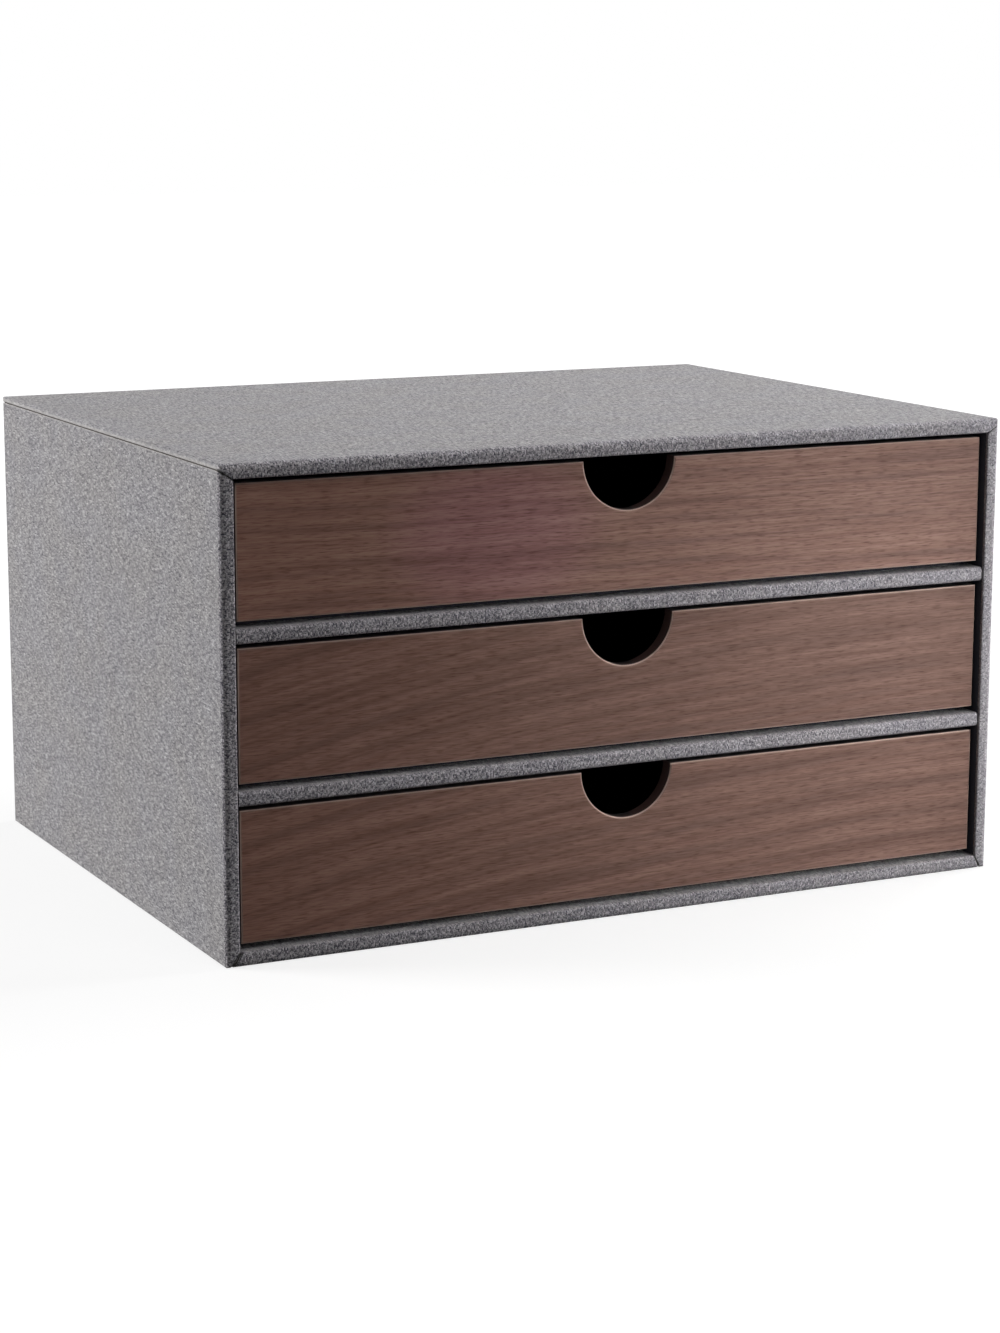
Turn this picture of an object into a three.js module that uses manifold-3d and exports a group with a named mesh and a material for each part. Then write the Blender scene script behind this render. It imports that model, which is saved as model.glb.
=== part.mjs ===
// A desk file box with three drawers. The case is a carcase of greyboard, wrapped in grey book
// cloth that turns in round its front edges and is mitred at the corners of the front frame.
// Each drawer is a tray of thin board behind a walnut-veneered front with a half-moon finger notch.
//
// Sizes are in millimetres. X runs across the front, Y from the front to the back, and Z up.
// The origin is on the ground, under the middle of the case.

import * as THREE from 'three';
import { mergeVertices } from 'three/addons/utils/BufferGeometryUtils.js';
import Module from 'manifold-3d';

const wasm = await Module();
wasm.setup();

// The case as a whole
const caseWidth = 332;
const caseDepth = 251;
const bayCount = 3;
const bayHeight = 53.9;

// What the case is made of
const boardThickness = 4.6;
const clothThickness = 0.5;
const bayPaperThickness = 0.5;

// The cloth: its folds, its turned-in edges and the seams between its pieces
const outerFoldRadius = 2.4;
const sideFoldRadius = 1.2;
const mouthFoldRadius = 0.9;
const dividerFoldRadius = 1.5;
const boardEdgeSlack = 0.4;
const frontTurnIn = 14;
const backTurnIn = 15;
const backClothMargin = 3;
const seamDrop = 1.9;
const seamGap = 0.3;
const upperSeamGap = 0.55;
const lowerSeamGap = 1.3;
const lowerMitreGap = 0.6;
const dividerEndGap = 0.5;
const dividerRecess = 0.7;

// The drawer fronts
const frontRecess = 3;
const frontSideGap = 1.5;
const frontBottomGap = 2.2;
const frontTopGap = 1.8;
const coreThickness = 5.4;
const veneerThickness = 0.6;
const frontEdgeEase = 0.9;
const notchRadius = 19.3;
const notchPaperMargin = 1;

// The drawer trays
const trayInset = 0.4;
const trayRunningGap = 0.3;
const trayWallThickness = 3;
const trayFloorThickness = 2.5;
const trayWallDrop = 2;
const trayPaperThickness = 0.4;

// How finely curves are cut, and how far a cutting shape runs past what it cuts
const foldSegments = 5;
const notchSegments = 32;
const easeSegments = 3;
const cutOverrun = 2;

// Worked out from the sizes above
const innerSkin = Math.max(clothThickness, bayPaperThickness);
const clothWall = boardThickness + 2 * clothThickness;
const caseWall = clothThickness + boardThickness + innerSkin;
const bayPitch = bayHeight + boardThickness + 2 * innerSkin;
const caseHeight = bayCount * bayPitch - boardThickness - 2 * innerSkin + 2 * caseWall;
const bayHalfWidth = caseWidth / 2 - caseWall;
const boardFace = clothThickness + boardThickness;
const boardFaceX = caseWidth / 2 - boardFace;
const frontY = -caseDepth / 2;
const backY = caseDepth / 2;
const wrapBackY = backY - clothThickness;
const boardFrontY = frontY + clothThickness;
const boardBackY = wrapBackY - clothThickness;
const backBoardY = boardBackY - boardThickness;
const turnInY = frontY + frontTurnIn;
const dividerFrontY = frontY + dividerRecess;
const dividerNoseX = bayHalfWidth - dividerEndGap;
const mitreReach = backTurnIn + cutOverrun;
const outerFoldInside = outerFoldRadius - clothThickness;
const sideFoldInside = sideFoldRadius - clothThickness;
const mouthFoldInside = mouthFoldRadius - clothThickness;
const boardOuterRadius = outerFoldInside + boardEdgeSlack;
const boardSideRadius = sideFoldInside + boardEdgeSlack;
const boardMouthRadius = mouthFoldInside + boardEdgeSlack;
const dividerFoldInside = dividerFoldRadius - clothThickness;
const dividerEdgeRadius = dividerFoldInside + boardEdgeSlack;
const frontThickness = coreThickness + veneerThickness;
const frontHalfWidth = bayHalfWidth - frontSideGap;
const frontHeight = bayHeight - frontBottomGap - frontTopGap;
const panelFrontY = frontY + frontRecess;
const panelBackY = panelFrontY + frontThickness;
const trayHalfWidth = frontHalfWidth - trayInset;
const trayInnerX = trayHalfWidth - trayWallThickness;
const trayBackY = backBoardY - bayPaperThickness - trayRunningGap;

// The height of a bay's clear floor, counted from the lowest bay, which is level 0.
const bayFloor = (level) => caseWall + level * bayPitch;

// Finishes

function finish(color, roughness) {
  return new THREE.MeshStandardMaterial({ color, roughness, metalness: 0, flatShading: true });
}

const greyboard = () => finish('#8d8373', 0.9);
const bookCloth = () => finish('#918f92', 0.95);
const blackPaper = () => finish('#151418', 0.8);
const walnutVeneer = () => finish('#6e5046', 0.5);
const stainedCore = () => finish('#5d4037', 0.6);

// Outlines and solids

// A closed outline through right-angled corners [x, y, radius], each rounded by its own radius.
function outline(corners) {
  const shape = new THREE.Shape();
  corners.forEach(([x, y, radius], i) => {
    const [lastX, lastY] = corners[(i + corners.length - 1) % corners.length];
    const [nextX, nextY] = corners[(i + 1) % corners.length];
    const into = new THREE.Vector2(x - lastX, y - lastY).normalize();
    const out = new THREE.Vector2(nextX - x, nextY - y).normalize();
    const start = new THREE.Vector2(x, y).addScaledVector(into, -radius);
    if (i === 0) shape.moveTo(start.x, start.y);
    else shape.lineTo(start.x, start.y);
    if (radius > 0) {
      const centre = start.clone().addScaledVector(out, radius);
      const end = new THREE.Vector2(x, y).addScaledVector(out, radius);
      const from = start.sub(centre).angle();
      const to = end.sub(centre).angle();
      shape.absarc(centre.x, centre.y, radius, from, to, into.cross(out) < 0);
    }
  });
  return shape;
}

function rectangle(x0, y0, x1, y1, radius = 0) {
  return outline([[x0, y0, radius], [x1, y0, radius], [x1, y1, radius], [x0, y1, radius]]);
}

// An outline that is extruded along X is drawn in Y and Z, along Y in Z and X, and along Z in X and Y.
const axisBases = {
  x: [new THREE.Vector3(0, 1, 0), new THREE.Vector3(0, 0, 1), new THREE.Vector3(1, 0, 0)],
  y: [new THREE.Vector3(0, 0, 1), new THREE.Vector3(1, 0, 0), new THREE.Vector3(0, 1, 0)],
  z: [new THREE.Vector3(1, 0, 0), new THREE.Vector3(0, 1, 0), new THREE.Vector3(0, 0, 1)],
};

function extrude(axis, shape, from, options) {
  const geometry = new THREE.ExtrudeGeometry(shape, options);
  geometry.translate(0, 0, from);
  geometry.applyMatrix4(new THREE.Matrix4().makeBasis(...axisBases[axis]));
  return solid(geometry);
}

function prism(axis, shape, from, to) {
  return extrude(axis, shape, from, { depth: to - from, bevelEnabled: false, curveSegments: foldSegments });
}

function box(x0, x1, y0, y1, z0, z1) {
  return prism('z', rectangle(x0, y0, x1, y1), z0, z1);
}

// A closed mesh, with its shared vertices merged, becomes a solid that can be joined and cut.
function solid(geometry) {
  geometry.deleteAttribute('normal');
  geometry.deleteAttribute('uv');
  const merged = mergeVertices(geometry);
  const mesh = new wasm.Mesh({
    numProp: 3,
    vertProperties: new Float32Array(merged.attributes.position.array),
    triVerts: new Uint32Array(merged.index.array),
  });
  return new wasm.Manifold(mesh);
}

function part(name, body, material) {
  const { vertProperties, triVerts } = body.getMesh();
  const geometry = new THREE.BufferGeometry();
  geometry.setAttribute('position', new THREE.BufferAttribute(vertProperties, 3));
  geometry.setIndex(new THREE.BufferAttribute(triVerts, 1));
  geometry.computeVertexNormals();
  const mesh = new THREE.Mesh(geometry, material);
  mesh.name = name;
  return mesh;
}

// A block with every edge rounded: what three rounded prisms have in common. The edges that run
// from front to back have a radius of their own.
function roundedBlock(inset, y0, y1, radius, sideRadius) {
  const right = caseWidth / 2 - inset;
  const low = inset;
  const high = caseHeight - inset;
  const plan = prism('z', rectangle(-right, y0, right, y1, radius), low, high);
  const side = prism('x', rectangle(y0, low, y1, high, radius), -right, right);
  const front = prism('y', rectangle(low, -right, high, right, sideRadius), y0, y1);
  return plan.intersect(side).intersect(front);
}

// The points of a passage between two walls, [place between the walls, depth], with a mouth that
// flares out by a radius.
function passage(wallA, wallB, mouthY, endY, radius) {
  const quarter = new THREE.EllipseCurve(0, 0, radius, radius, 0, Math.PI / 2).getPoints(foldSegments);
  const flareB = quarter.map((p) => [wallB + radius - p.y, mouthY + radius - p.x]);
  const flareA = quarter.map((p) => [wallA - radius + p.y, mouthY + radius - p.x]).reverse();
  const ahead = mouthY - cutOverrun;
  const mouth = [[wallA - radius, ahead], [wallB + radius, ahead]];
  return [...mouth, ...flareB, [wallB, endY], [wallA, endY], ...flareA];
}

// The room that the front frame leaves, flared in plan and from the side.
function framedRoom(inset, mouthY, endY, radius) {
  const right = caseWidth / 2 - inset;
  const across = passage(-right, right, mouthY, endY, radius);
  const up = passage(inset, caseHeight - inset, mouthY, endY, radius);
  const plan = new THREE.Shape(across.map(([x, y]) => new THREE.Vector2(x, y)));
  const side = new THREE.Shape(up.map(([z, y]) => new THREE.Vector2(y, z)));
  return prism('z', plan, 0, caseHeight).intersect(prism('x', side, -caseWidth / 2, caseWidth / 2));
}

// The case's boards, which meet face to face and are eased where the cloth folds round them

const boardBlock = roundedBlock(clothThickness, boardFrontY, boardBackY, boardOuterRadius, boardSideRadius);

// The top or bottom board, over the full width and depth.
function flatBoard(z0) {
  const z1 = z0 + boardThickness;
  const profile = outline([
    [boardFrontY, z0, boardMouthRadius],
    [boardBackY, z0, 0],
    [boardBackY, z1, 0],
    [boardFrontY, z1, boardMouthRadius],
  ]);
  return prism('x', profile, -caseWidth / 2, caseWidth / 2).intersect(boardBlock);
}

// A side board, standing between the bottom and top boards.
function sideBoard(side) {
  const outerX = side * (caseWidth / 2 - clothThickness);
  const innerX = side * (caseWidth / 2 - boardFace);
  const x0 = Math.min(outerX, innerX);
  const x1 = Math.max(outerX, innerX);
  const profile = outline([
    [x0, boardFrontY, boardMouthRadius],
    [x1, boardFrontY, boardMouthRadius],
    [x1, boardBackY, 0],
    [x0, boardBackY, 0],
  ]);
  return prism('z', profile, boardFace, caseHeight - boardFace).intersect(boardBlock);
}

function backBoard() {
  return box(-boardFaceX, boardFaceX, backBoardY, boardBackY, boardFace, caseHeight - boardFace);
}

// A shelf between two bays. Its front corners are notched back to clear the turned-in side cloth.
function dividerBoard(level) {
  const z1 = bayFloor(level) - innerSkin;
  const z0 = z1 - boardThickness;
  const noseY = dividerFrontY + clothThickness;
  const stepY = turnInY + seamGap;
  const plan = outline([
    [-dividerNoseX, noseY, 0],
    [dividerNoseX, noseY, 0],
    [dividerNoseX, stepY, 0],
    [boardFaceX, stepY, 0],
    [boardFaceX, backBoardY, 0],
    [-boardFaceX, backBoardY, 0],
    [-boardFaceX, stepY, 0],
    [-dividerNoseX, stepY, 0],
  ]);
  const nose = dividerNose(noseY, backBoardY, z0, z1, dividerEdgeRadius);
  return prism('z', plan, z0, z1).intersect(prism('x', nose, -boardFaceX, boardFaceX));
}

// The side view of a divider, or of the cloth on it, with its front edges rounded.
function dividerNose(y0, y1, z0, z1, radius) {
  return outline([[y0, z0, radius], [y1, z0, 0], [y1, z1, 0], [y0, z1, radius]]);
}

// The cloth wrap: a skin over the boards that folds in round the front and the back edges,
// parted into a top, two sides and a bottom by mitred seams

const turnInSleeve = framedRoom(boardFace, boardFrontY, turnInY, mouthFoldInside);
const foldedSpace = roundedBlock(clothThickness, boardFrontY, boardBackY, outerFoldInside, sideFoldInside)
  .subtract(turnInSleeve);
const backWindow = box(
  backTurnIn - caseWidth / 2,
  caseWidth / 2 - backTurnIn,
  boardBackY - cutOverrun,
  backY,
  backTurnIn,
  caseHeight - backTurnIn,
);
const clothWrap = roundedBlock(0, frontY, wrapBackY, outerFoldRadius, sideFoldRadius)
  .subtract(framedRoom(clothWall, frontY, turnInY + cutOverrun, mouthFoldRadius))
  .subtract(foldedSpace)
  .subtract(backWindow);

// Keeps the wrap inside an outline that is given by [x, z] points of the front view.
function wrapPiece(points) {
  const shape = new THREE.Shape(points.map(([x, z]) => new THREE.Vector2(z, x)));
  return clothWrap.intersect(prism('y', shape, frontY - cutOverrun, backY));
}

// The top piece laps down over the upper edges, so its seams lie on the sides.
function topCloth() {
  const right = (lift) => [
    [caseWidth / 2 + cutOverrun, caseHeight + lift],
    [caseWidth / 2 + cutOverrun, caseHeight - seamDrop],
    [caseWidth / 2, caseHeight - seamDrop],
    [caseWidth / 2 - clothWall, caseHeight - clothWall],
    [caseWidth / 2 - mitreReach, caseHeight - mitreReach],
  ];
  const half = right(cutOverrun);
  return wrapPiece([...half, ...half.map(([x, z]) => [-x, z]).reverse()]);
}

// A side piece laps under the lower edge, so its lower seam lies on the underside.
function sideCloth(side) {
  const half = [
    [caseWidth / 2 + cutOverrun, caseHeight - seamDrop - upperSeamGap],
    [caseWidth / 2, caseHeight - seamDrop - upperSeamGap],
    [caseWidth / 2 - clothWall, caseHeight - clothWall - upperSeamGap],
    [caseWidth / 2 - mitreReach, caseHeight - mitreReach - upperSeamGap],
    [caseWidth / 2 - mitreReach, mitreReach],
    [caseWidth / 2 - clothWall, clothWall],
    [caseWidth / 2 - seamDrop, 0],
    [caseWidth / 2 - seamDrop, -cutOverrun],
    [caseWidth / 2 + cutOverrun, -cutOverrun],
  ];
  return wrapPiece(half.map(([x, z]) => [side * x, z]));
}

function bottomCloth() {
  const half = [
    [caseWidth / 2 - mitreReach - lowerMitreGap, mitreReach],
    [caseWidth / 2 - clothWall - lowerMitreGap, clothWall],
    [caseWidth / 2 - seamDrop - lowerSeamGap, 0],
    [caseWidth / 2 - seamDrop - lowerSeamGap, -cutOverrun],
  ];
  return wrapPiece([...half, ...half.map(([x, z]) => [-x, z]).reverse()]);
}

// The back is a sheet laid over the turned-in edges, which dips to the board inside them.
function backCloth() {
  const sheet = (inset, y0, y1) =>
    box(inset - caseWidth / 2, caseWidth / 2 - inset, y0, y1, inset, caseHeight - inset);
  const dipInset = backTurnIn + seamGap;
  const over = sheet(backClothMargin, wrapBackY, backY);
  const hollow = sheet(dipInset + clothThickness, wrapBackY - cutOverrun, backY + cutOverrun);
  const dip = sheet(dipInset, boardBackY, wrapBackY + clothThickness / 2);
  const dipHollow = sheet(dipInset + clothThickness, wrapBackY, backY);
  return over.subtract(hollow).add(dip.subtract(dipHollow));
}

function dividerCloth(level) {
  const z1 = bayFloor(level) - innerSkin;
  const z0 = z1 - boardThickness;
  const low = z0 - clothThickness;
  const high = z1 + clothThickness;
  const outside = dividerNose(dividerFrontY, turnInY, low, high, dividerFoldRadius);
  const inside = dividerNose(dividerFrontY + clothThickness, turnInY + cutOverrun, z0, z1, dividerFoldInside);
  return prism('x', outside, -dividerNoseX, dividerNoseX)
    .subtract(prism('x', inside, -bayHalfWidth, bayHalfWidth));
}

// The paper that lines a bay behind the turned-in cloth, open at the front.
function bayPaper(level) {
  const z0 = bayFloor(level) - innerSkin;
  const z1 = z0 + bayHeight + 2 * innerSkin;
  const y0 = turnInY + seamGap;
  const outside = box(-boardFaceX, boardFaceX, y0, backBoardY, z0, z1);
  const inside = box(
    bayPaperThickness - boardFaceX,
    boardFaceX - bayPaperThickness,
    y0 - cutOverrun,
    backBoardY - bayPaperThickness,
    z0 + bayPaperThickness,
    z1 - bayPaperThickness,
  );
  return outside.subtract(inside);
}

// A drawer

// The veneered front as one blank: a notch in the top edge, and every front edge eased.
function frontBlank(z0, z1) {
  const face = new THREE.Shape();
  face.moveTo(z0, -frontHalfWidth);
  face.lineTo(z0, frontHalfWidth);
  face.lineTo(z1, frontHalfWidth);
  face.lineTo(z1, notchRadius);
  face.absarc(z1, 0, notchRadius, Math.PI / 2, Math.PI * 3 / 2, false);
  face.lineTo(z1, -frontHalfWidth);
  return extrude('y', face, panelFrontY + frontEdgeEase, {
    depth: frontThickness,
    curveSegments: notchSegments,
    bevelThickness: frontEdgeEase,
    bevelSize: frontEdgeEase,
    bevelOffset: -frontEdgeEase,
    bevelSegments: easeSegments,
  });
}

// The part of the blank between two depths.
function frontLayer(z0, z1, y0, y1) {
  return frontBlank(z0, z1).intersect(box(-caseWidth / 2, caseWidth / 2, y0, y1, 0, caseHeight));
}

function traySide(side, z0, z1) {
  const outerX = side * trayHalfWidth;
  const innerX = side * trayInnerX;
  return box(Math.min(outerX, innerX), Math.max(outerX, innerX), panelBackY, trayBackY, z0, z1);
}

// The paper inside the tray, open at the top and cut back round the notch.
function trayPaper(z0, z1, notchZ) {
  const outside = box(-trayInnerX, trayInnerX, panelBackY, trayBackY - trayWallThickness, z0, z1);
  const inside = box(
    trayPaperThickness - trayInnerX,
    trayInnerX - trayPaperThickness,
    panelBackY + trayPaperThickness,
    trayBackY - trayWallThickness - trayPaperThickness,
    z0 + trayPaperThickness,
    z1 + cutOverrun,
  );
  const circle = new THREE.Shape();
  circle.absarc(notchZ, 0, notchRadius + notchPaperMargin, 0, Math.PI * 2, false);
  const notch = extrude('y', circle, panelBackY - cutOverrun, {
    depth: cutOverrun * 2,
    bevelEnabled: false,
    curveSegments: notchSegments,
  });
  return outside.subtract(inside).subtract(notch);
}

function drawer(number) {
  const floorZ = bayFloor(bayCount - number);
  const frontLow = floorZ + frontBottomGap;
  const frontHigh = frontLow + frontHeight;
  const trayLow = floorZ + trayRunningGap;
  const trayFloorTop = trayLow + trayFloorThickness;
  const wallTop = frontHigh - trayWallDrop;
  const veneerBackY = panelFrontY + veneerThickness;
  const name = `drawer_${number}`;
  const group = new THREE.Group();
  group.name = name;
  group.add(
    part(`${name}_front_veneer`, frontLayer(frontLow, frontHigh, frontY, veneerBackY), walnutVeneer()),
    part(`${name}_front_core`, frontLayer(frontLow, frontHigh, veneerBackY, panelBackY), stainedCore()),
    part(
      `${name}_floor`,
      box(-trayHalfWidth, trayHalfWidth, panelBackY, trayBackY, trayLow, trayFloorTop),
      blackPaper(),
    ),
    part(`${name}_left_wall`, traySide(-1, trayFloorTop, wallTop), blackPaper()),
    part(`${name}_right_wall`, traySide(1, trayFloorTop, wallTop), blackPaper()),
    part(
      `${name}_back_wall`,
      box(-trayInnerX, trayInnerX, trayBackY - trayWallThickness, trayBackY, trayFloorTop, wallTop),
      blackPaper(),
    ),
    part(`${name}_lining`, trayPaper(trayFloorTop, wallTop, frontHigh), blackPaper()),
  );
  return group;
}

// The whole box

function fileBoxCase() {
  const group = new THREE.Group();
  group.name = 'case';
  group.add(
    part('bottom_board', flatBoard(clothThickness), greyboard()),
    part('top_board', flatBoard(caseHeight - boardFace), greyboard()),
    part('left_board', sideBoard(-1), greyboard()),
    part('right_board', sideBoard(1), greyboard()),
    part('back_board', backBoard(), greyboard()),
    part('bottom_cloth', bottomCloth(), bookCloth()),
    part('top_cloth', topCloth(), bookCloth()),
    part('left_cloth', sideCloth(-1), bookCloth()),
    part('right_cloth', sideCloth(1), bookCloth()),
    part('back_cloth', backCloth(), bookCloth()),
  );
  for (let number = 1; number <= bayCount; number += 1) {
    const level = bayCount - number;
    group.add(part(`bay_${number}_lining`, bayPaper(level), blackPaper()));
    if (level > 0) {
      group.add(
        part(`divider_${number}_board`, dividerBoard(level), greyboard()),
        part(`divider_${number}_cloth`, dividerCloth(level), bookCloth()),
      );
    }
  }
  return group;
}

const fileBox = new THREE.Group();
fileBox.name = 'file_box';
fileBox.add(fileBoxCase());
for (let number = 1; number <= bayCount; number += 1) fileBox.add(drawer(number));

export default fileBox;
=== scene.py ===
import math

import bmesh
import bpy
from mathutils import Matrix, Vector


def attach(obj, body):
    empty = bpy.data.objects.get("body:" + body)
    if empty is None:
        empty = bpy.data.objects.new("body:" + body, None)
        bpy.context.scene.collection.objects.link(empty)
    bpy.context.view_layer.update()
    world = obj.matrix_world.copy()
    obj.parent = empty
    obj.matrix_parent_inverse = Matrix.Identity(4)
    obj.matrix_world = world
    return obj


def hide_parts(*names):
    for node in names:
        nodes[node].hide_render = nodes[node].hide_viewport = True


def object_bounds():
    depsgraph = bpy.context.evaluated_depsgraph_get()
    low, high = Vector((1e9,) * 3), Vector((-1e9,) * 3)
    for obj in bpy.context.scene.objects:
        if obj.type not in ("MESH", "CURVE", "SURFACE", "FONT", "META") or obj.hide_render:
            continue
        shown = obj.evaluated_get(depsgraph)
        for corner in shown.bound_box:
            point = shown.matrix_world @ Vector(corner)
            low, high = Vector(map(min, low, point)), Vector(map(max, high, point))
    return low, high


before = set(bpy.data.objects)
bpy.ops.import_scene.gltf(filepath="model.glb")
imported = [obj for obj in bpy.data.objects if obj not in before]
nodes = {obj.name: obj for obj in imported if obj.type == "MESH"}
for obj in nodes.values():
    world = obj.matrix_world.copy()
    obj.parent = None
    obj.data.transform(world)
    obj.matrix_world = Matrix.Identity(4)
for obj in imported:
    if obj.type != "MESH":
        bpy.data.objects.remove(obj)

cad_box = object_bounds()

# The view. It stands left of the box's front and a little above it, as far off as a photographer
# with a long lens stands. The places are in metres and the turns in degrees.
view_place = Vector((-0.5610, -1.1430, 0.3244))
view_turn = math.radians(26.41)
view_dip = math.radians(11.05)
view_roll = math.radians(0.09)
view_lens = 84.2

ahead = Vector((
    math.sin(view_turn) * math.cos(view_dip),
    math.cos(view_turn) * math.cos(view_dip),
    -math.sin(view_dip),
))
level = Vector((math.cos(view_turn), -math.sin(view_turn), 0.0))
upright = level.cross(ahead)
across = level * math.cos(view_roll) + upright * math.sin(view_roll)
upward = upright * math.cos(view_roll) - level * math.sin(view_roll)

camera = bpy.data.objects.new("camera", bpy.data.cameras.new("camera"))
bpy.context.scene.collection.objects.link(camera)
camera.data.lens = view_lens
camera.data.clip_start = 0.05
camera.data.clip_end = 30.0
camera.matrix_world = Matrix.Translation(view_place) @ Matrix((
    (across.x, upward.x, -ahead.x, 0.0),
    (across.y, upward.y, -ahead.y, 0.0),
    (across.z, upward.z, -ahead.z, 0.0),
    (0.0, 0.0, 0.0, 1.0),
))
bpy.context.scene.camera = camera


# The carcase: seven greyboard panels, glued edge to face, which carry everything else.
# They are pressed from waste paper, so they are a flat brownish grey with darker flecks.
# Cloth and paper cover them all over once the box is finished.
def linear(hex_colour):
    """An sRGB hex colour as the linear colour that a shader takes."""
    channels = [int(hex_colour[i:i + 2], 16) / 255 for i in (1, 3, 5)]
    lines = [c / 12.92 if c <= 0.04045 else ((c + 0.055) / 1.055) ** 2.4 for c in channels]
    return (*lines, 1.0)


def add(tree, kind, inputs=None, stops=None, **settings):
    """Adds a node with its settings and its (place, sRGB hex) colour stops, and fills its inputs.

    An input takes a value, a socket, or a node, which stands for its first output.
    """
    node = tree.nodes.new(kind)
    for name, value in settings.items():
        setattr(node, name, value)
    for key, value in (inputs or {}).items():
        if isinstance(value, bpy.types.Node):
            value = value.outputs[0]
        if isinstance(value, bpy.types.NodeSocket):
            tree.links.new(value, node.inputs[key])
        else:
            node.inputs[key].default_value = value
    if stops:
        elements = node.color_ramp.elements
        while len(elements) < len(stops):
            elements.new(0.5)
        for element, (place, colour) in zip(elements, stops):
            element.position = place
            element.color = linear(colour)
    return node


def new_material(name):
    """A material with an empty tree, ready for its shader and output."""
    material = bpy.data.materials.new(name)
    material.use_nodes = True
    material.node_tree.nodes.clear()
    return material, material.node_tree


def greyboard():
    # Grey board, calendered from recycled fibre: matte and flecked. It is painted dark, as painted shade
    # in the seams where it shows through: darkest towards the front, so that the mitres look like drawn
    # lines, and less dark further back, in the long seams on the sides.
    material, tree = new_material("greyboard")
    fleck_mm = 1.4
    deepest_shade_to_y, lighter_shade_from_y = -0.1240, -0.1205
    places = add(tree, "ShaderNodeTexCoord").outputs["Object"]
    flecks = add(tree, "ShaderNodeTexNoise", {"Vector": places, "Scale": 1000 / fleck_mm, "Detail": 3.0})
    deep_shade_tone = add(tree, "ShaderNodeValToRGB", {"Fac": flecks}, [(0.35, "#1f1c19"), (0.65, "#2e2a26")])
    light_shade_tone = add(tree, "ShaderNodeValToRGB", {"Fac": flecks}, [(0.35, "#3f3a37"), (0.65, "#4d4844")])
    depth = add(tree, "ShaderNodeSeparateXYZ", {"Vector": places}).outputs["Y"]
    light_shade_share = add(tree, "ShaderNodeMapRange", {
        "Value": depth, "From Min": deepest_shade_to_y, "From Max": lighter_shade_from_y,
    })
    colour = add(tree, "ShaderNodeMix", {
        "Factor": light_shade_share, 6: deep_shade_tone, 7: light_shade_tone,
    }, data_type="RGBA").outputs[2]
    shader = add(tree, "ShaderNodeBsdfPrincipled", {"Base Color": colour, "Roughness": 0.9})
    add(tree, "ShaderNodeOutputMaterial", {"Surface": shader})
    return material


def dress(node_name, material):
    """Gives a CAD node its finished material."""
    mesh = nodes[node_name].data
    mesh.materials.clear()
    mesh.materials.append(material)


board = greyboard()
for node_name in nodes:
    if node_name.endswith("_board"):
        dress(node_name, board)


# The cloth wrap: one woven book cloth over the boards, glued down, folded round the front edges
# and mitred at the corners of the frame. The top piece laps over the long upper edges, and the
# side pieces lap under the lower ones. Its threads follow each piece round its folds.
case_low, case_high = cad_box
seam_drop_mm = 1.9


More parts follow.
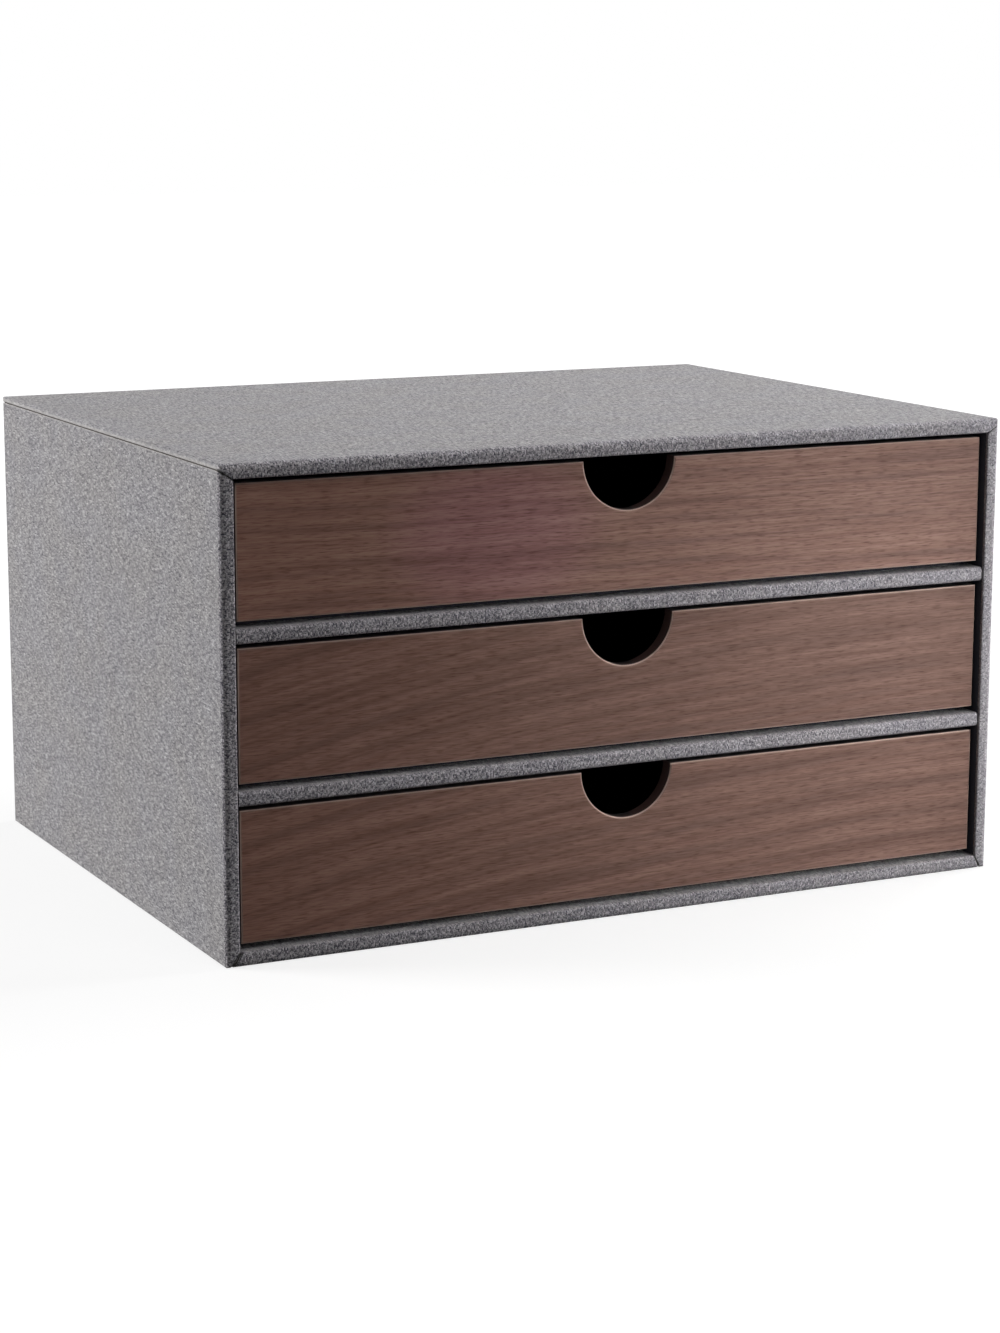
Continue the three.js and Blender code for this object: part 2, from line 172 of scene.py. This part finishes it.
def woven_book_cloth():
    # Melange book cloth in plain weave: light and charcoal fibres are spun into each thread, so
    # the eye sees a speckled grey with short streaks both ways, and slubs that stand a little proud.
    # The threads are drawn a little coarser than the real 0.4 mm, so that they show, and each has
    # its own lane in the noise. Over the narrow front edges and their folds the streaks are shorter
    # and the speckle is painted stronger, with a faint cool tint: painted light, which stands for the
    # weave's relief and the cooler shade where light grazes the front. The boost is strongest at the
    # left and fades towards the right. A pale band beside the upper side seam is a painted highlight,
    # and the two mitres at the left are painted dark, as painted shade in their slits.
    material, tree = new_material("woven_book_cloth")
    thread_mm = 0.55
    lane_step = 7.31
    warp_streak_mm, warp_share, warp_seed = 2.2, 0.18, 3.0
    weft_streak_mm, weft_share, weft_seed = 2.9, 0.46, 17.0
    speck_mm, speck_share = 0.55, 0.36
    patch_mm = 25.0
    relief_mm, arch_share, slub_share = 0.16, 0.25, 2.2
    mid_tone = 0.5
    left_gain, right_gain, streak_cut = 1.0, 0.1, 0.55
    seam_glint_near_mm, seam_glint_far_mm, seam_glint_share = 0.5, 1.3, 0.4
    side_skin_mm = 1.0
    mitre_shade_fade_mm, mitre_shade_share, corner_mm = 0.4, 0.9, 5.6
    upper_start_mm, upper_slope, upper_half_mm = 2.2, 0.66, 0.35
    lower_start_mm, lower_slope, lower_half_mm = 2.55, 0.60, 0.85
    threads = add(tree, "ShaderNodeUVMap", uv_map="threads_mm")
    split = add(tree, "ShaderNodeSeparateXYZ", {"Vector": threads})
    u, v = split.outputs["X"], split.outputs["Y"]
    # The front faces: their stronger speckle and cool tint below are painted light.
    on_front = add(tree, "ShaderNodeAttribute", attribute_name="front_share").outputs["Fac"]
    cut = add(tree, "ShaderNodeMath", {0: on_front, 1: streak_cut}, operation="MULTIPLY")
    streak_scale = add(tree, "ShaderNodeMath", {0: 1.0, 1: cut}, operation="SUBTRACT")

    def thread(across_mm, along_mm, streak_mm, seed):
        """The tone of one set of threads, and the rounded height across them."""
        place = add(tree, "ShaderNodeMath", {0: across_mm, 1: thread_mm}, operation="DIVIDE")
        lane = add(tree, "ShaderNodeMath", {0: place}, operation="FLOOR")
        lane = add(tree, "ShaderNodeMath", {0: lane, 1: lane_step}, operation="MULTIPLY")
        length_mm = add(tree, "ShaderNodeMath", {0: streak_scale, 1: streak_mm}, operation="MULTIPLY")
        along = add(tree, "ShaderNodeMath", {0: along_mm, 1: length_mm}, operation="DIVIDE")
        spot = add(tree, "ShaderNodeCombineXYZ", {"X": lane, "Y": along, "Z": seed})
        tone = add(tree, "ShaderNodeTexNoise", {"Vector": spot, "Scale": 1.0, "Detail": 2.0})
        turn = add(tree, "ShaderNodeMath", {0: place}, operation="FRACT")
        turn = add(tree, "ShaderNodeMath", {0: turn, 1: math.pi}, operation="MULTIPLY")
        arch = add(tree, "ShaderNodeMath", {0: turn}, operation="SINE")
        return tone, arch

    warp_tone, warp_arch = thread(u, v, warp_streak_mm, warp_seed)
    weft_tone, weft_arch = thread(v, u, weft_streak_mm, weft_seed)
    specks = add(tree, "ShaderNodeTexNoise", {"Vector": threads, "Scale": 1 / speck_mm, "Detail": 2.0})
    patches = add(tree, "ShaderNodeTexNoise", {"Vector": threads, "Scale": 1 / patch_mm, "Detail": 1.0})
    tone = 0.0
    for part, share in ((warp_tone, warp_share), (weft_tone, weft_share), (specks, speck_share)):
        tone = add(tree, "ShaderNodeMath", {0: part, 1: share, 2: tone}, operation="MULTIPLY_ADD")
    locus = add(tree, "ShaderNodeTexCoord").outputs["Object"]
    places = add(tree, "ShaderNodeSeparateXYZ", {"Vector": locus}).outputs
    gain = add(tree, "ShaderNodeMapRange", {
        "Value": places["X"], "From Min": case_low.x, "From Max": case_high.x,
        "To Min": left_gain, "To Max": right_gain,
    })
    contrast = add(tree, "ShaderNodeMath", {0: on_front, 1: gain, 2: 1.0}, operation="MULTIPLY_ADD")
    off_mid = add(tree, "ShaderNodeMath", {0: tone, 1: mid_tone}, operation="SUBTRACT")
    tone = add(tree, "ShaderNodeMath", {0: off_mid, 1: contrast, 2: mid_tone}, operation="MULTIPLY_ADD")
    colour = add(tree, "ShaderNodeValToRGB", {"Fac": tone}, [
        (0.35, "#54535b"), (0.47, "#908e90"), (0.53, "#a4a2a3"), (0.65, "#d8d6d7"),
    ])
    tint = add(tree, "ShaderNodeValToRGB", {"Fac": patches}, [(0.35, "#fefdfc"), (0.65, "#fdfdff")])
    for share, shade in ((1.0, tint), (on_front, linear("#fdfbff"))):
        colour = add(tree, "ShaderNodeMix", {
            "Factor": share, 6: colour, 7: shade,
        }, data_type="RGBA", blend_type="MULTIPLY").outputs[2]

    # A painted highlight: a pale band on the sides just beside the upper seam.
    seam_z = case_high.z - seam_drop_mm / 1000
    off_seam = add(tree, "ShaderNodeMath", {0: places["Z"], 1: seam_z}, operation="SUBTRACT")
    off_seam = add(tree, "ShaderNodeMath", {0: off_seam}, operation="ABSOLUTE")
    beside_seam = add(tree, "ShaderNodeMapRange", {
        "Value": off_seam, "From Min": seam_glint_near_mm / 1000, "From Max": seam_glint_far_mm / 1000,
        "To Min": seam_glint_share, "To Max": 0.0,
    })
    off_middle = add(tree, "ShaderNodeMath", {0: places["X"]}, operation="ABSOLUTE")
    inset = add(tree, "ShaderNodeMath", {0: case_high.x, 1: off_middle}, operation="SUBTRACT")
    on_side = add(tree, "ShaderNodeMath", {0: inset, 1: side_skin_mm / 1000}, operation="LESS_THAN")
    seam_highlight = add(tree, "ShaderNodeMath", {0: beside_seam, 1: on_side}, operation="MULTIPLY")

    # Painted shade: the front faces are painted near black along the two mitres at the left.
    from_foot = places["Z"]
    from_head = add(tree, "ShaderNodeMath", {0: case_high.z, 1: from_foot}, operation="SUBTRACT")
    mitre_shade = 0.0
    for start_mm, slope, half_mm, along, aside in (
        (upper_start_mm, upper_slope, upper_half_mm, inset, from_head),
        (lower_start_mm, lower_slope, lower_half_mm, from_foot, inset),
    ):
        mitre = add(tree, "ShaderNodeMath", {
            0: along, 1: slope, 2: start_mm / 1000,
        }, operation="MULTIPLY_ADD")
        off_mitre = add(tree, "ShaderNodeMath", {0: aside, 1: mitre}, operation="SUBTRACT")
        off_mitre = add(tree, "ShaderNodeMath", {0: off_mitre}, operation="ABSOLUTE")
        beside_mitre = add(tree, "ShaderNodeMapRange", {
            "Value": off_mitre,
            "From Min": half_mm / 1000, "From Max": (half_mm + mitre_shade_fade_mm) / 1000,
            "To Min": mitre_shade_share, "To Max": 0.0,
        })
        in_corner = add(tree, "ShaderNodeMath", {0: along, 1: corner_mm / 1000}, operation="LESS_THAN")
        on_mitre = add(tree, "ShaderNodeMath", {0: beside_mitre, 1: in_corner}, operation="MULTIPLY")
        mitre_shade = add(tree, "ShaderNodeMath", {0: mitre_shade, 1: on_mitre}, operation="MAXIMUM")
    at_left = add(tree, "ShaderNodeMath", {0: places["X"], 1: 0.0}, operation="LESS_THAN")
    for limit in (at_left, on_front):
        mitre_shade = add(tree, "ShaderNodeMath", {0: mitre_shade, 1: limit}, operation="MULTIPLY")
    for share, shade in ((seam_highlight, "#d9d5d1"), (mitre_shade, "#1c1b1e")):
        colour = add(tree, "ShaderNodeMix", {
            "Factor": share, 6: colour, 7: linear(shade),
        }, data_type="RGBA").outputs[2]

    arch = add(tree, "ShaderNodeMath", {0: warp_arch, 1: weft_arch}, operation="ADD")
    arch = add(tree, "ShaderNodeMath", {0: arch, 1: arch_share}, operation="MULTIPLY")
    height = add(tree, "ShaderNodeMath", {0: tone, 1: slub_share, 2: arch}, operation="MULTIPLY_ADD")
    bump = add(tree, "ShaderNodeBump", {"Height": height, "Distance": relief_mm / 1000, "Strength": 1.0})
    shader = add(tree, "ShaderNodeBsdfPrincipled", {
        "Base Color": colour,
        "Roughness": 0.92,
        "Specular IOR Level": 0.15,
        "Sheen Weight": 0.05,
        "Normal": bump,
    })
    add(tree, "ShaderNodeOutputMaterial", {"Surface": shader})
    return material


cloth = woven_book_cloth()
merge_within = 1e-6
skin_within = 1e-5
flat_angle = math.radians(0.5)
smooth_angle = math.radians(40)
cut_angle = math.radians(35)
cut_easing_mm = 0.42


def on_skin(place):
    """Whether a point lies on the outer faces of the case."""
    gaps = [abs(place[axis] - end[axis]) for axis in range(3) for end in (case_low, case_high)]
    return min(gaps) < skin_within


def finished_copy(node_name, piece_name, body, material, easing_mm=0.0):
    """A merged copy of a CAD node with even shading and eased cut edges, which stands for it."""
    mesh = nodes[node_name].data.copy()
    mesh.materials.clear()
    mesh.materials.append(material)
    work = bmesh.new()
    work.from_mesh(mesh)
    bmesh.ops.remove_doubles(work, verts=work.verts, dist=merge_within)
    bmesh.ops.dissolve_limit(work, angle_limit=flat_angle, verts=work.verts, edges=work.edges)
    if easing_mm:
        weight = work.edges.layers.float.new("bevel_weight_edge")
        for edge in work.edges:
            if all(on_skin(vertex.co) for vertex in edge.verts) and edge.calc_face_angle(0.0) > cut_angle:
                edge[weight] = 1.0
    work.to_mesh(mesh)
    work.free()
    mesh.shade_smooth()
    mesh.set_sharp_from_angle(angle=smooth_angle)
    piece = bpy.data.objects.new(piece_name, mesh)
    bpy.context.scene.collection.objects.link(piece)
    if easing_mm:
        eased = piece.modifiers.new("eased edges", "BEVEL")
        eased.width = easing_mm / 1000
        eased.segments = 2
        eased.limit_method = "WEIGHT"
        eased.use_clamp_overlap = False
    even = piece.modifiers.new("even shading", "WEIGHTED_NORMAL")
    even.keep_sharp = True
    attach(piece, body)
    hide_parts(node_name)
    return piece


def lay_threads(piece, unfold):
    """Lays the thread coordinates, in millimetres, by unfolding the piece round its folds."""
    mesh = piece.data
    layer = mesh.uv_layers.new(name="threads_mm")
    for polygon in mesh.polygons:
        for corner in polygon.loop_indices:
            place = mesh.vertices[mesh.loops[corner].vertex_index].co
            u, v = unfold(place, polygon.normal)
            layer.data[corner].uv = (u * 1000, v * 1000)


def mark_faces(piece, name, share_of):
    """Gives each face a share, worked out from its normal."""
    shares = piece.data.attributes.new(name, "FLOAT", "FACE")
    for polygon in piece.data.polygons:
        shares.data[polygon.index].value = share_of(polygon.normal)


def front_share(normal):
    """How far a face belongs to the front edge and its folds."""
    lean_gain = 2.5
    return min(1.0, max(0.0, -normal.y * lean_gain))


# A face is turned towards an axis when its normal comes within 45 degrees of it. The shift keeps
# the threads of a side from repeating those of the top.
towards = 0.7
side_shift = 0.5


def unfold_flat(place, normal):
    """Over the top, the bottom or a divider: threads run from the back over the front, and across."""
    depth = place.y - case_low.y
    across_m = place.x
    if abs(normal.x) > towards:
        across_m = place.x + math.copysign(case_high.z - place.z, place.x)
    if abs(normal.y) > towards:
        return place.z, across_m
    return -depth if normal.z > 0 else depth, across_m


def unfold_side(place, normal):
    """Over a side: threads run upright, and from the back over the front edge."""
    depth = place.y - case_low.y
    inward = case_high.x - abs(place.x)
    upright_m = place.z - (inward if normal.z < -towards else 0.0)
    if abs(normal.y) > towards:
        return inward + side_shift, upright_m
    return side_shift - depth, upright_m


for side in ("top", "bottom", "left", "right"):
    piece = finished_copy(
        side + "_cloth", side + "_book_cloth", "case", cloth, cut_easing_mm
    )
    lay_threads(piece, unfold_side if side in ("left", "right") else unfold_flat)
    mark_faces(piece, "front_share", front_share)


# The back is closed by a sheet of the same cloth, glued over the turned-in edges of the wrap.
# It dips where it meets the board inside them.
back_shift = 1.0


def unfold_back(place, normal):
    """Over the back: threads run across and upright."""
    return place.x + back_shift, place.z


back = finished_copy("back_cloth", "back_book_cloth", "case", cloth)
lay_threads(back, unfold_back)


# The dividers' front edges are wrapped in strips of the same cloth, folded back over both faces.
# As on the top and the bottom, the stronger threads stand upright at the front.
for number in (1, 2):
    edge_cloth = finished_copy(
        f"divider_{number}_cloth", f"divider_{number}_edge_cloth", "case", cloth
    )
    lay_threads(edge_cloth, unfold_flat)
    mark_faces(edge_cloth, "front_share", front_share)


# The bays and the drawers' trays are lined with black paper over the board, so that the inside
# is almost black where it shows through the notches and past the fronts.
def black_lining_paper():
    # Uncoated black paper: a soft matte black with a faint fibre grain.
    material, tree = new_material("black_lining_paper")
    fibre_mm, relief_mm = 0.6, 0.04
    places = add(tree, "ShaderNodeTexCoord").outputs["Object"]
    fibres = add(tree, "ShaderNodeTexNoise", {"Vector": places, "Scale": 1000 / fibre_mm, "Detail": 3.0})
    colour = add(tree, "ShaderNodeValToRGB", {"Fac": fibres}, [(0.3, "#131218"), (0.7, "#22212a")])
    bump = add(tree, "ShaderNodeBump", {"Height": fibres, "Distance": relief_mm / 1000, "Strength": 0.5})
    shader = add(tree, "ShaderNodeBsdfPrincipled", {
        "Base Color": colour,
        "Roughness": 0.85,
        "Specular IOR Level": 0.3,
        "Normal": bump,
    })
    add(tree, "ShaderNodeOutputMaterial", {"Surface": shader})
    return material


black_paper = black_lining_paper()
for node_name in nodes:
    if node_name.endswith(("_lining", "_wall", "_floor")):
        dress(node_name, black_paper)


# Strips of the black paper stand inside the two side walls and hide the turned-in cloth from just
# behind its fold. They are partly painted shade: the gaps beside the fronts and the slits at the
# ends of the dividers, which they run past, lie in shade, and the strips make them black.
def paper_strip_tree():
    """A strip of paper that follows a line, with its long edges rounded."""
    rounding_share = 0.4
    tree = bpy.data.node_groups.new("paper_strip", "GeometryNodeTree")
    sockets = {}
    for name, kind in (
        ("Foot", "NodeSocketVector"), ("Head", "NodeSocketVector"), ("Thickness", "NodeSocketFloat"),
        ("Depth", "NodeSocketFloat"), ("Paper", "NodeSocketMaterial"),
    ):
        sockets[name] = tree.interface.new_socket(name, in_out="INPUT", socket_type=kind).identifier
    tree.interface.new_socket("Strip", in_out="OUTPUT", socket_type="NodeSocketGeometry")
    given = add(tree, "NodeGroupInput").outputs
    line = add(tree, "GeometryNodeCurvePrimitiveLine", {"Start": given["Foot"], "End": given["Head"]})
    section = add(tree, "GeometryNodeCurvePrimitiveQuadrilateral", {
        "Width": given["Thickness"], "Height": given["Depth"],
    })
    rounding = add(tree, "ShaderNodeMath", {0: given["Thickness"], 1: rounding_share}, operation="MULTIPLY")
    rounded = add(tree, "GeometryNodeFilletCurve", {
        "Curve": section, "Count": 2, "Radius": rounding,
    }, mode="POLY")
    strip = add(tree, "GeometryNodeCurveToMesh", {
        "Curve": line, "Profile Curve": rounded, "Fill Caps": True,
    })
    whole = add(tree, "GeometryNodeRealizeInstances", {"Geometry": strip})
    dressed = add(tree, "GeometryNodeSetMaterial", {"Geometry": whole, "Material": given["Paper"]})
    add(tree, "NodeGroupOutput", {"Strip": dressed})
    return tree, sockets


def grown(name, tree, values):
    """The plain mesh object that a geometry tree makes from its inputs."""
    seed = bpy.data.objects.new(name, bpy.data.meshes.new(name))
    bpy.context.scene.collection.objects.link(seed)
    growth = seed.modifiers.new("growth", "NODES")
    growth.node_group = tree
    for identifier, value in values.items():
        growth[identifier] = value
    ready = seed.evaluated_get(bpy.context.evaluated_depsgraph_get())
    mesh = bpy.data.meshes.new_from_object(ready)
    seed.modifiers.remove(growth)
    seed.data = mesh
    return seed


strip_thick = 0.00018
strip_front = case_low.y + 0.0011
strip_back = case_low.y + 0.0138
strip_off_wall = 0.00002
strip_end_gap = 0.0002
wall_thick = 0.0056
strip_tree, strip_inputs = paper_strip_tree()
for side, turn in (("left", -1), ("right", 1)):
    strip_x = turn * (case_high.x - wall_thick - strip_thick / 2 - strip_off_wall)
    strip_y = (strip_front + strip_back) / 2
    strip = grown(f"{side}_mouth_shade_lining", strip_tree, {
        strip_inputs["Foot"]: (strip_x, strip_y, case_low.z + wall_thick + strip_end_gap),
        strip_inputs["Head"]: (strip_x, strip_y, case_high.z - wall_thick - strip_end_gap),
        strip_inputs["Thickness"]: strip_thick,
        strip_inputs["Depth"]: strip_back - strip_front,
        strip_inputs["Paper"]: black_paper,
    })
    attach(strip, "case")


# The drawer fronts: a fibreboard core with a sheet of walnut veneer on its face. The edges are
# eased with sandpaper, and the veneer's eased edges are painted paler than the face, a painted
# highlight. The core is stained dark.
def walnut_veneer(number, tone, flame_share, patch_share):
    # Sliced walnut under a thin matte oil: short dark pores along the grain, a fine silky mottle,
    # and soft grey-brown streaks. Where the log was cut at a slant they rise in a long flame from
    # the lower left. The sheet is painted a little darker and redder at its left end, which stands
    # for the lamp's whitish sheen towards the right: a painted reflection. One sheet has a purplish
    # patch left of its notch. Real pores are about 0.2 mm wide and 2 mm long, and the fibres are
    # finer still: both are drawn two to three times as coarse, so that they show.
    material, tree = new_material(f"walnut_veneer_{number}")
    fibre_mm, fibre_length_mm = 0.60, 12.0
    pore_mm, pore_length_mm, pore_share = 0.50, 5.5, 0.8
    band_mm, band_length_mm = 1.7, 70.0
    streak_mm, streak_length_mm = 5.5, 150.0
    wander_mm, wander_width_mm, wander_length_mm = 5.0, 60.0, 120.0
    flame_drop_mm, flame_end_mm, flame_reach_mm = 42.0, 150.0, 310.0
    sheet_half_mm = 160.0
    patch_place_mm, patch_half_mm, patch_fade = (-56.0, 152.0), (48.0, 34.0), 1.2
    relief_mm = 0.05
    sheet_seed = 7.0 * number
    locus = add(tree, "ShaderNodeTexCoord").outputs["Object"]
    places = add(tree, "ShaderNodeSeparateXYZ", {"Vector": locus}).outputs
    x_mm = add(tree, "ShaderNodeMath", {0: places["X"], 1: 1000.0}, operation="MULTIPLY")
    z_mm = add(tree, "ShaderNodeMath", {0: places["Z"], 1: 1000.0}, operation="MULTIPLY")

    def grain(width_mm, length_mm, height_mm, detail):
        """Noise drawn out along the grain."""
        along = add(tree, "ShaderNodeMath", {0: x_mm, 1: length_mm}, operation="DIVIDE")
        aside = add(tree, "ShaderNodeMath", {0: height_mm, 1: width_mm}, operation="DIVIDE")
        spot = add(tree, "ShaderNodeCombineXYZ", {"X": along, "Y": aside, "Z": sheet_seed})
        return add(tree, "ShaderNodeTexNoise", {
            "Vector": spot, "Scale": 1.0, "Detail": detail, "Roughness": 0.55,
        })

    back_mm = add(tree, "ShaderNodeMath", {0: flame_end_mm, 1: x_mm}, operation="SUBTRACT")
    back_mm = add(tree, "ShaderNodeMath", {0: back_mm, 1: 0.0}, operation="MAXIMUM")
    rise = add(tree, "ShaderNodeMath", {0: back_mm, 1: flame_reach_mm}, operation="DIVIDE")
    rise = add(tree, "ShaderNodeMath", {0: rise, 1: 2.0}, operation="POWER")
    flame_mm = add(tree, "ShaderNodeMath", {0: rise, 1: flame_drop_mm * flame_share}, operation="MULTIPLY")
    drift = grain(wander_width_mm, wander_length_mm, z_mm, 1.0)
    drift_mm = add(tree, "ShaderNodeMath", {0: drift, 1: wander_mm}, operation="MULTIPLY")
    bent_mm = z_mm
    for shift_mm in (flame_mm, drift_mm):
        bent_mm = add(tree, "ShaderNodeMath", {0: bent_mm, 1: shift_mm}, operation="ADD")
    fibres = grain(fibre_mm, fibre_length_mm, z_mm, 2.0)
    pores = grain(pore_mm, pore_length_mm, z_mm, 1.0)
    streaks = grain(streak_mm, streak_length_mm, bent_mm, 3.0)
    bands = grain(band_mm, band_length_mm, bent_mm, 2.0)
    brown = add(tree, "ShaderNodeValToRGB", {"Fac": streaks}, [
        (0.36, "#8d6f65"), (0.50, "#9e7d71"), (0.64, "#a8867a"),
    ])
    plum = add(tree, "ShaderNodeValToRGB", {"Fac": streaks}, [
        (0.36, "#956d6e"), (0.50, "#a77d7f"), (0.64, "#b18789"),
    ])
    off_patch = 0.0
    for measure_mm, centre_mm, half_mm in zip((x_mm, z_mm), patch_place_mm, patch_half_mm):
        off = add(tree, "ShaderNodeMath", {0: measure_mm, 1: centre_mm}, operation="SUBTRACT")
        off = add(tree, "ShaderNodeMath", {0: off, 1: half_mm}, operation="DIVIDE")
        off_patch = add(tree, "ShaderNodeMath", {0: off, 1: off, 2: off_patch}, operation="MULTIPLY_ADD")
    patch = add(tree, "ShaderNodeMapRange", {
        "Value": off_patch, "From Max": patch_fade, "To Min": patch_share, "To Max": 0.0,
    }, interpolation_type="SMOOTHSTEP")
    colour = add(tree, "ShaderNodeMix", {
        "Factor": patch, 6: brown, 7: plum,
    }, data_type="RGBA").outputs[2]
    reach = add(tree, "ShaderNodeMapRange", {
        "Value": x_mm, "From Min": -sheet_half_mm, "From Max": sheet_half_mm,
    })
    # Painted reflection: the left end is drawn darker and redder, so the right end reads as under sheen.
    painted_sheen_tint = add(tree, "ShaderNodeValToRGB", {"Fac": reach}, [(0.0, "#fff6f1"), (0.75, "#ffffff")])
    band_tone = add(tree, "ShaderNodeValToRGB", {"Fac": bands}, [
        (0.34, "#e6dfdc"), (0.52, "#f7f5f4"), (0.70, "#ffffff"),
    ])
    fibre_tone = add(tree, "ShaderNodeValToRGB", {"Fac": fibres}, [
        (0.30, "#d6cfcc"), (0.50, "#eeebe9"), (0.70, "#ffffff"),
    ])
    pore_tone = add(tree, "ShaderNodeValToRGB", {"Fac": pores}, [(0.52, "#ffffff"), (0.74, "#b3a29b")])
    for share, shade in (
        (1.0, (tone, tone, tone, 1.0)), (1.0, painted_sheen_tint), (1.0, band_tone), (1.0, fibre_tone),
        (pore_share, pore_tone),
    ):
        colour = add(tree, "ShaderNodeMix", {
            "Factor": share, 6: colour, 7: shade,
        }, data_type="RGBA", blend_type="MULTIPLY").outputs[2]
    # Painted highlight: the eased edges and the notch's rim are painted pale.
    rim_highlight = add(tree, "ShaderNodeAttribute", attribute_name="rim_highlight_share").outputs["Fac"]
    colour = add(tree, "ShaderNodeMix", {
        "Factor": rim_highlight, 6: colour, 7: linear("#d0b6a9"),
    }, data_type="RGBA").outputs[2]
    bump = add(tree, "ShaderNodeBump", {"Height": fibres, "Distance": relief_mm / 1000, "Strength": 0.5})
    shader = add(tree, "ShaderNodeBsdfPrincipled", {
        "Base Color": colour,
        "Roughness": 0.55,
        "Specular IOR Level": 0.15,
        "Normal": bump,
    })
    add(tree, "ShaderNodeOutputMaterial", {"Surface": shader})
    return material


def stained_fibreboard():
    # Sanded fibreboard edge under dark brown stain: even, far darker than the face, a little mottled.
    material, tree = new_material("stained_fibreboard")
    fibre_mm = 0.8
    places = add(tree, "ShaderNodeTexCoord").outputs["Object"]
    fibres = add(tree, "ShaderNodeTexNoise", {"Vector": places, "Scale": 1000 / fibre_mm, "Detail": 3.0})
    colour = add(tree, "ShaderNodeValToRGB", {"Fac": fibres}, [(0.35, "#301f1c"), (0.65, "#3d2925")])
    shader = add(tree, "ShaderNodeBsdfPrincipled", {"Base Color": colour, "Roughness": 0.6})
    add(tree, "ShaderNodeOutputMaterial", {"Surface": shader})
    return material


def rim_highlight_share(normal):
    """How far a face takes the painted highlight: none of the flat face, all of the eased edge."""
    slant_gain = 3.0
    return min(1.0, (1.0 - abs(normal.y)) * slant_gain)


stain = stained_fibreboard()
# Each sheet's tone is partly painted light: the top front is made lighter than the two below, to set how
# bright each shows under these lamps.
for number, tone, flame_share, patch_share in (
    (1, 1.03, 0.0, 0.8), (2, 0.80, 0.9, 0.0), (3, 0.87, 0.8, 0.0),
):
    body = f"drawer_{number}"
    walnut = walnut_veneer(number, tone, flame_share, patch_share)
    face = finished_copy(f"{body}_front_veneer", f"{body}_walnut_face", body, walnut)
    mark_faces(face, "rim_highlight_share", rim_highlight_share)
    finished_copy(f"{body}_front_core", f"{body}_front_panel", body, stain)


# The stage: a white floor that keeps the box's soft shadow, and five soft boxes. They stand to
# the left, above, high in front, near the right end of the front, and low and far to the right.
# Their places and sizes are in metres.
def seen_directly(tree):
    """1 for a ray that the camera, a mirror or clear glass sends, and 0 for one that lights."""
    path = add(tree, "ShaderNodeLightPath").outputs
    seen = path["Is Camera Ray"]
    for ray in ("Is Glossy Ray", "Is Transmission Ray"):
        seen = add(tree, "ShaderNodeMath", {0: seen, 1: path[ray]}, operation="MAXIMUM")
    return seen


def white_floor():
    # A white studio sweep. The camera and mirrors see it melt into the background away from the
    # box and keep its shadow close by. What it throws back on the box is that of a dark grey floor.
    material, tree = new_material("white_floor")
    melt_from, melt_to = 0.30, 0.85
    glow_near, glow_strength = 0.70, 1.12
    places = add(tree, "ShaderNodeTexCoord").outputs["Object"]
    reach = add(tree, "ShaderNodeVectorMath", {0: places}, operation="LENGTH").outputs["Value"]
    melt = add(tree, "ShaderNodeMapRange", {
        "Value": reach, "From Min": melt_from, "From Max": melt_to, "To Min": glow_near, "To Max": 1.0,
    }, interpolation_type="SMOOTHSTEP")
    white = add(tree, "ShaderNodeBsdfDiffuse", {"Color": linear("#f5f5f5")})
    glow = add(tree, "ShaderNodeEmission", {"Color": linear("#ffffff"), "Strength": glow_strength})
    sweep = add(tree, "ShaderNodeMixShader", {"Fac": melt, 1: white, 2: glow})
    grey = add(tree, "ShaderNodeBsdfDiffuse", {"Color": linear("#303030")})
    both = add(tree, "ShaderNodeMixShader", {"Fac": seen_directly(tree), 1: grey, 2: sweep})
    add(tree, "ShaderNodeOutputMaterial", {"Surface": both})
    return material


floor_half = 6.0
floor_mesh = bpy.data.meshes.new("floor")
floor_corners = [(x * floor_half, y * floor_half, 0) for x, y in ((-1, -1), (1, -1), (1, 1), (-1, 1))]
floor_mesh.from_pydata(floor_corners, [], [(0, 1, 2, 3)])
floor_mesh.materials.append(white_floor())
floor = bpy.data.objects.new("floor", floor_mesh)
bpy.context.scene.collection.objects.link(floor)


def soft_lamp(name, place, aim, size, watts, spread_degrees=180):
    """A square soft box at a place, aimed at a point, with a grid that narrows its spread."""
    data = bpy.data.lights.new(name, "AREA")
    data.size = size
    data.energy = watts
    data.spread = math.radians(spread_degrees)
    lamp = bpy.data.objects.new(name, data)
    bpy.context.scene.collection.objects.link(lamp)
    lamp.location = place
    lamp.rotation_euler = (Vector(aim) - Vector(place)).to_track_quat("-Z", "Y").to_euler()


soft_lamp("left_box", (-2.0, 1.1, 0.75), (0, 0, 0.1), 1.0, 58)
soft_lamp("top_box", (0.85, 0.1, 1.15), (0, 0, 0.1), 0.7, 12)
soft_lamp("high_front_box", (0.1, -1.0, 1.3), (0, -0.12, 0.1), 0.8, 4.7)
soft_lamp("right_front_box", (0.47, -0.54, 0.15), (0.128, -0.12, 0.078), 0.2, 0.197, 41)
soft_lamp("right_edge_box", (1.6, -0.36, 0.25), (0, -0.12, 0.1), 0.3, 11)

sky_fill = 0.03
world = bpy.data.worlds.new("studio")
bpy.context.scene.world = world
world.use_nodes = True
world.node_tree.nodes.clear()
strength = add(world.node_tree, "ShaderNodeMapRange", {
    "Value": seen_directly(world.node_tree), "To Min": sky_fill, "To Max": 1.0,
})
sky = add(world.node_tree, "ShaderNodeBackground", {"Color": linear("#ffffff"), "Strength": strength})
add(world.node_tree, "ShaderNodeOutputWorld", {"Surface": sky})

bpy.context.scene.view_settings.view_transform = "Standard"
